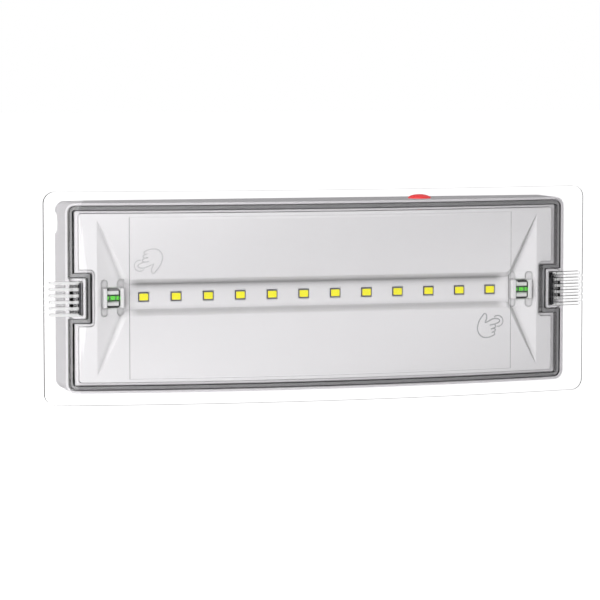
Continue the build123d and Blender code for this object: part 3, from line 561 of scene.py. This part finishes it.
for side, turn in (("left", -1), ("right", 1)):
    dress(f"level_vial_{side}", vial_clear)
    dress(f"level_liquid_{side}", level_green)
    low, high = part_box(f"level_liquid_{side}")
    bore = (high.z - low.z) / 2
    length = high.x - low.x
    middle = (low + high) / 2
    for mark, share in (("outer", 0.21), ("inner", 0.66)):
        mesh = bpy.data.meshes.new(f"level_ring_{side}_{mark}")
        bm = bmesh.new()
        outline = bmesh.ops.create_circle(bm, segments=40, radius=bore + ring_wall)
        edges = list({e for v in outline["verts"] for e in v.link_edges})
        drawn = bmesh.ops.extrude_edge_only(bm, edges=edges)
        moved = [v for v in drawn["geom"] if isinstance(v, bmesh.types.BMVert)]
        bmesh.ops.translate(bm, verts=moved, vec=(0, 0, ring_width))
        bmesh.ops.solidify(bm, geom=bm.faces[:], thickness=ring_wall * 0.5)
        bmesh.ops.recalc_face_normals(bm, faces=bm.faces)
        bmesh.ops.rotate(bm, verts=bm.verts, cent=(0, 0, 0), matrix=Matrix.Rotation(pi / 2, 3, "Y"))
        spot = Vector((low.x + share * length - ring_width / 2, middle.y, middle.z))
        bmesh.ops.translate(bm, verts=bm.verts, vec=spot)
        bm.to_mesh(mesh)
        bm.free()
        mesh.materials.append(ring_black)
        ring = bpy.data.objects.new(f"level_ring_{side}_{mark}", mesh)
        bpy.context.scene.collection.objects.link(ring)
        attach(ring, "base")


# Latch clips
# Dark spring clips of glass-filled nylon that snap into the end pockets and hold the cover's hooks. Their
# toothed tongues show through the clear ribs.
# Their near-black is partly the nylon's own and partly painted shade, standing in for the shade deep in the pockets.
clip_nylon_and_shade = moulded("clip_nylon_and_shade", (0.07, 0.07, 0.075), 0.5, specular=0.4, tone=0.08)
dress("latch_clip_left", clip_nylon_and_shade)
dress("latch_clip_right", clip_nylon_and_shade)


# Test button
# The translucent red cap in the top wall: it is pressed to test the light and glows while it charges.
button_red = moulded("button_red", (0.85, 0.02, 0.025), 0.25, specular=0.5, tone=0.02, depth=0.004 * mm)
button_skin = button_red.node_tree.nodes["Principled BSDF"]
# Painted glow: the cap shines faintly by an emission of its own; the charge lamp behind it is not lit.
button_skin.inputs["Emission Color"].default_value = (1.0, 0.03, 0.04, 1)
button_skin.inputs["Emission Strength"].default_value = 0.35
dress("test_button", button_red)


# Switch board
# A small upright board behind the button, with the push switch, its plunger and the charging lamp.
switch_black = moulded("switch_black", (0.04, 0.04, 0.045), 0.45)
dress("test_switch", switch_black)
dress("switch_plunger", moulded("plunger_red", (0.55, 0.05, 0.04), 0.4))
dress("charge_lamp", moulded("lamp_resin", (0.75, 0.85, 0.70), 0.2, specular=0.5))


def circuit_board(name, base, track):
    """Glass-fibre board under solder mask, with faint lighter tracks that show through the mask."""
    material = moulded(name, base, 0.35, specular=0.5, tone=0.05)
    tree = material.node_tree
    place = tree.nodes.new("ShaderNodeTexCoord")
    tracks = tree.nodes.new("ShaderNodeTexBrick")
    tracks.inputs["Scale"].default_value = 160.0
    tracks.inputs["Mortar Size"].default_value = 0.06
    tracks.inputs["Color1"].default_value = (0, 0, 0, 1)
    tracks.inputs["Color2"].default_value = (0, 0, 0, 1)
    tracks.inputs["Mortar"].default_value = (1, 1, 1, 1)
    turn = tree.nodes.new("ShaderNodeMapping")
    turn.inputs["Rotation"].default_value = (pi / 2, 0, 0)
    tree.links.new(place.outputs["Object"], turn.inputs["Vector"])
    tree.links.new(turn.outputs["Vector"], tracks.inputs["Vector"])
    skin = tree.nodes["Principled BSDF"]
    mask = skin.inputs["Base Color"].links[0].from_socket
    laid = tree.nodes.new("ShaderNodeMix")
    laid.data_type = "RGBA"
    laid.inputs["B"].default_value = (*track, 1)
    tree.links.new(tracks.outputs["Color"], laid.inputs["Factor"])
    tree.links.new(mask, laid.inputs["A"])
    tree.links.new(laid.outputs["Result"], skin.inputs["Base Color"])
    return material


board_green = circuit_board("board_green", (0.02, 0.13, 0.06), (0.05, 0.24, 0.10))
dress("switch_board", board_green)


# Battery
# Three nickel-metal cells end to end in a blue shrink sleeve, snapped into saddles on the back.
def metal(name, colour, roughness, scale=400.0):
    """Bare or plated metal with fine uneven gloss."""
    material = bpy.data.materials.new(name)
    material.use_nodes = True
    tree = material.node_tree
    skin = tree.nodes["Principled BSDF"]
    skin.inputs["Metallic"].default_value = 1.0
    skin.inputs["Base Color"].default_value = (*colour, 1)
    worn = sprayed_noise(tree, scale)
    gloss = tree.nodes.new("ShaderNodeMapRange")
    gloss.inputs["To Min"].default_value = roughness - 0.08
    gloss.inputs["To Max"].default_value = roughness + 0.08
    tree.links.new(worn.outputs["Fac"], gloss.inputs["Value"])
    tree.links.new(gloss.outputs["Result"], skin.inputs["Roughness"])
    return material


dress("battery_sleeve", moulded("sleeve_blue", (0.03, 0.13, 0.36), 0.25, specular=0.5, tone=0.04, depth=0.05 * mm))
nickel = metal("nickel", (0.66, 0.64, 0.60), 0.3)
for n in range(3):
    dress(f"battery_cell_{n + 1}", nickel)


# Driver board
# The charger and driver board on its four screwed standoffs, with the parts that are soldered to it.
dress("driver_board", board_green)
dress("board_screws", metal("zinc_plate", (0.62, 0.63, 0.66), 0.28))
dress("transformer", moulded("ferrite_core", (0.10, 0.09, 0.085), 0.6, tone=0.12))
dress("mains_capacitor", moulded("sleeve_black", (0.03, 0.03, 0.05), 0.3, specular=0.5))
dress("output_capacitor", moulded("sleeve_navy", (0.03, 0.05, 0.16), 0.3, specular=0.5))
dress("fuse", moulded("fuse_tube", (0.72, 0.74, 0.74), 0.15, specular=0.6))
dress("filter_choke", moulded("enamel_wire", (0.38, 0.16, 0.05), 0.35, specular=0.5, tone=0.25, grain=700.0, depth=0.1 * mm))
dress("control_chip", moulded("chip_epoxy", (0.03, 0.03, 0.03), 0.6))
socket_nylon = moulded("socket_nylon", (0.80, 0.78, 0.72), 0.4)
dress("strip_socket", socket_nylon)
dress("battery_socket", socket_nylon)


# Terminal block
# The mains terminals screwed to the back beside the cable entry: a grey block with brass-plated screws.
dress("terminal_block", moulded("terminal_grey", (0.46, 0.47, 0.48), 0.5))
dress("terminal_screws", metal("terminal_brass", (0.72, 0.55, 0.28), 0.3))


# Clear cover
# One clear polycarbonate moulding: bowed sheet with a wide flange, a raised pane with straight seams, a
# tongue that presses on the gasket, finger ribs and two hooks. Its edges look dark where light runs along it.
cover_clear = clear_plastic("cover_clear", (0.985, 0.98, 0.985), 1.49, 0.0, 0.04, 0.55, 0.7)
rib_half_pitch = 1.635 * mm
rib_half_width = 0.8 * mm
rib_line = 0.16 * mm
rib_end = 9.2 * mm
rib_inner_x = 128.0 * mm
rib_outer_x = 143.5 * mm
pocket_edge_x = 134.0 * mm
tree = cover_clear.node_tree


def step(operation, first, second=None):
    """One sum on the surface's place, with sockets or plain numbers."""
    node = tree.nodes.new("ShaderNodeMath")
    node.operation = operation
    for socket, value in zip(node.inputs, (first, second)):
        if isinstance(value, (int, float)):
            socket.default_value = value
        elif value is not None:
            tree.links.new(value, socket)
    return node.outputs[0]


# Painted light and shade on the finger ribs, placed by position: on the right, dark lines along each rib's edges are
# painted shade; over the pocket and all along the left, the crests get a pale diffuse tone, painted highlights over the
# dark pocket that show as pale grey bars against the white flange at the left.
place = tree.nodes.new("ShaderNodeTexCoord")
axes = tree.nodes.new("ShaderNodeSeparateXYZ")
tree.links.new(place.outputs["Object"], axes.inputs[0])
across = step("PINGPONG", axes.outputs["Z"], rib_half_pitch)
on_ribs = step("LESS_THAN", step("ABSOLUTE", axes.outputs["Z"]), rib_end)
on_ribs = step("MULTIPLY", on_ribs, step("GREATER_THAN", step("ABSOLUTE", axes.outputs["X"]), rib_inner_x))
on_ribs = step("MULTIPLY", on_ribs, step("LESS_THAN", step("ABSOLUTE", axes.outputs["X"]), rib_outer_x))
rib_edge = rib_half_pitch - rib_half_width
on_crest = step("MULTIPLY", on_ribs, step("GREATER_THAN", across, rib_edge))
off_line = step("ABSOLUTE", step("SUBTRACT", across, rib_edge))
on_line = step("MULTIPLY", on_ribs, step("LESS_THAN", off_line, rib_line))
at_right = step("GREATER_THAN", axes.outputs["X"], 0.0)
over_pocket = step("LESS_THAN", step("ABSOLUTE", axes.outputs["X"]), pocket_edge_x)
rib_shade_lines = step("MULTIPLY", step("MULTIPLY", on_line, at_right), 0.55)
edge_mix = next(n for n in tree.nodes if n.bl_idname == "ShaderNodeMixShader" and n.inputs[1].links[0].from_node.name == "Principled BSDF")
edge_share = edge_mix.inputs["Fac"].links[0].from_socket
# Only walls that stand across the pane darken, so that the pane itself stays clear from the side.
skin_axes = tree.nodes.new("ShaderNodeSeparateXYZ")
tree.links.new(place.outputs["Normal"], skin_axes.inputs[0])
on_wall = step("LESS_THAN", step("ABSOLUTE", skin_axes.outputs["Y"]), 0.75)
edge_share = step("MULTIPLY", edge_share, on_wall)
tree.links.new(step("MAXIMUM", edge_share, rib_shade_lines), edge_mix.inputs["Fac"])
painted_crests = tree.nodes.new("ShaderNodeBsdfDiffuse")
painted_crests.inputs["Color"].default_value = (0.84, 0.84, 0.84, 1)
at_left = step("SUBTRACT", 1.0, at_right)
crest_paint_share = step("MULTIPLY", on_crest, step("MAXIMUM", over_pocket, at_left))
crest_paint_mix = tree.nodes.new("ShaderNodeMixShader")
tree.links.new(step("MULTIPLY", crest_paint_share, 0.6), crest_paint_mix.inputs["Fac"])
tree.links.new(tree.nodes["Principled BSDF"].outputs[0], crest_paint_mix.inputs[1])
tree.links.new(painted_crests.outputs[0], crest_paint_mix.inputs[2])
tree.links.new(crest_paint_mix.outputs[0], edge_mix.inputs[1])
dress("clear_cover", cover_clear)


low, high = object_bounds()
